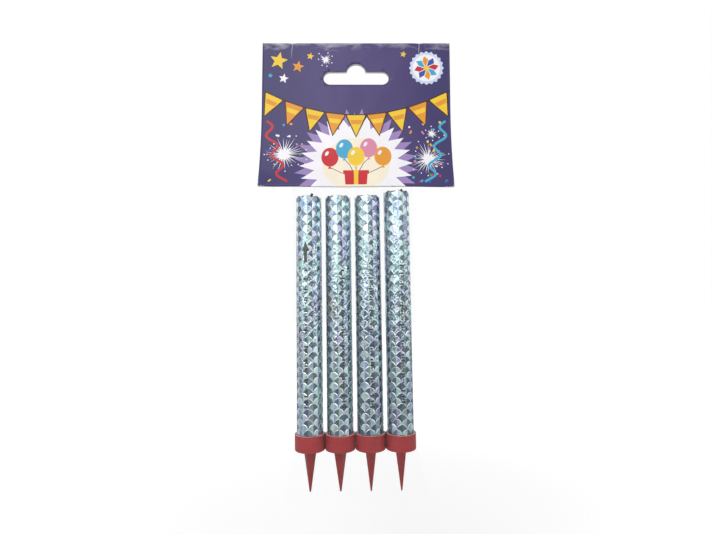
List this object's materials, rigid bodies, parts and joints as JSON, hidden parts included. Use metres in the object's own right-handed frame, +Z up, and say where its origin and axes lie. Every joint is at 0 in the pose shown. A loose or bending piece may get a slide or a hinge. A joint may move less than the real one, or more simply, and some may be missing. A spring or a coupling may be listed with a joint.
{
  "type": "cake fountain",
  "caption": "Hanging pack of foil-wrapped cake fountains in spiked plastic bases, held in a clear film bag under a folded header card with a hang slot.",
  "frame": {"origin": "centre of the hang slot's round lobe, midway between the two panels of the header card", "axes": "+Z up along the tubes, the front of the pack faces -Y, +X to the right seen from the front"},
  "size_m": [0.092, 0.0157, 0.2208],
  "materials": {
    "printed_board": "gloss",
    "tape": "matte",
    "clear_film": "gloss",
    "red_plastic": "satin",
    "paper_tube": "matte",
    "silver_foil": "polished",
    "clay": "matte",
    "charge": "matte",
    "disc_board": "matte",
    "fuse_cord": "matte"
  },
  "bodies": {
    "pack": {"header_card": "printed_board", "tape_front": "tape", "tape_rear": "tape", "clear_bag": "clear_film"},
    "fountain_1": {"spike_base_1": "red_plastic", "tube_1": "paper_tube", "foil_wrap_1": "silver_foil", "clay_plug_1": "clay", "charge_1": "charge", "top_disc_1": "disc_board", "fuse_1": "fuse_cord"},
    "fountain_2": {"spike_base_2": "red_plastic", "tube_2": "paper_tube", "foil_wrap_2": "silver_foil", "clay_plug_2": "clay", "charge_2": "charge", "top_disc_2": "disc_board", "fuse_2": "fuse_cord"},
    "fountain_3": {"spike_base_3": "red_plastic", "tube_3": "paper_tube", "foil_wrap_3": "silver_foil", "clay_plug_3": "clay", "charge_3": "charge", "top_disc_3": "disc_board", "fuse_3": "fuse_cord"},
    "fountain_4": {"spike_base_4": "red_plastic", "tube_4": "paper_tube", "foil_wrap_4": "silver_foil", "clay_plug_4": "clay", "charge_4": "charge", "top_disc_4": "disc_board", "fuse_4": "fuse_cord"}
  },
  "joints": [
    {"name": "fountain_1_rise", "type": "slide", "parent": "pack", "child": "fountain_1", "axis": [-0.0129, 0, 0.9999], "range_m": [0, 0.004]},
    {"name": "fountain_2_rise", "type": "slide", "parent": "pack", "child": "fountain_2", "axis": [-0.0129, 0, 0.9999], "range_m": [0, 0.004]},
    {"name": "fountain_3_rise", "type": "slide", "parent": "pack", "child": "fountain_3", "axis": [-0.0129, 0, 0.9999], "range_m": [0, 0.004]},
    {"name": "fountain_4_rise", "type": "slide", "parent": "pack", "child": "fountain_4", "axis": [-0.0129, 0, 0.9999], "range_m": [0, 0.004]}
  ]
}
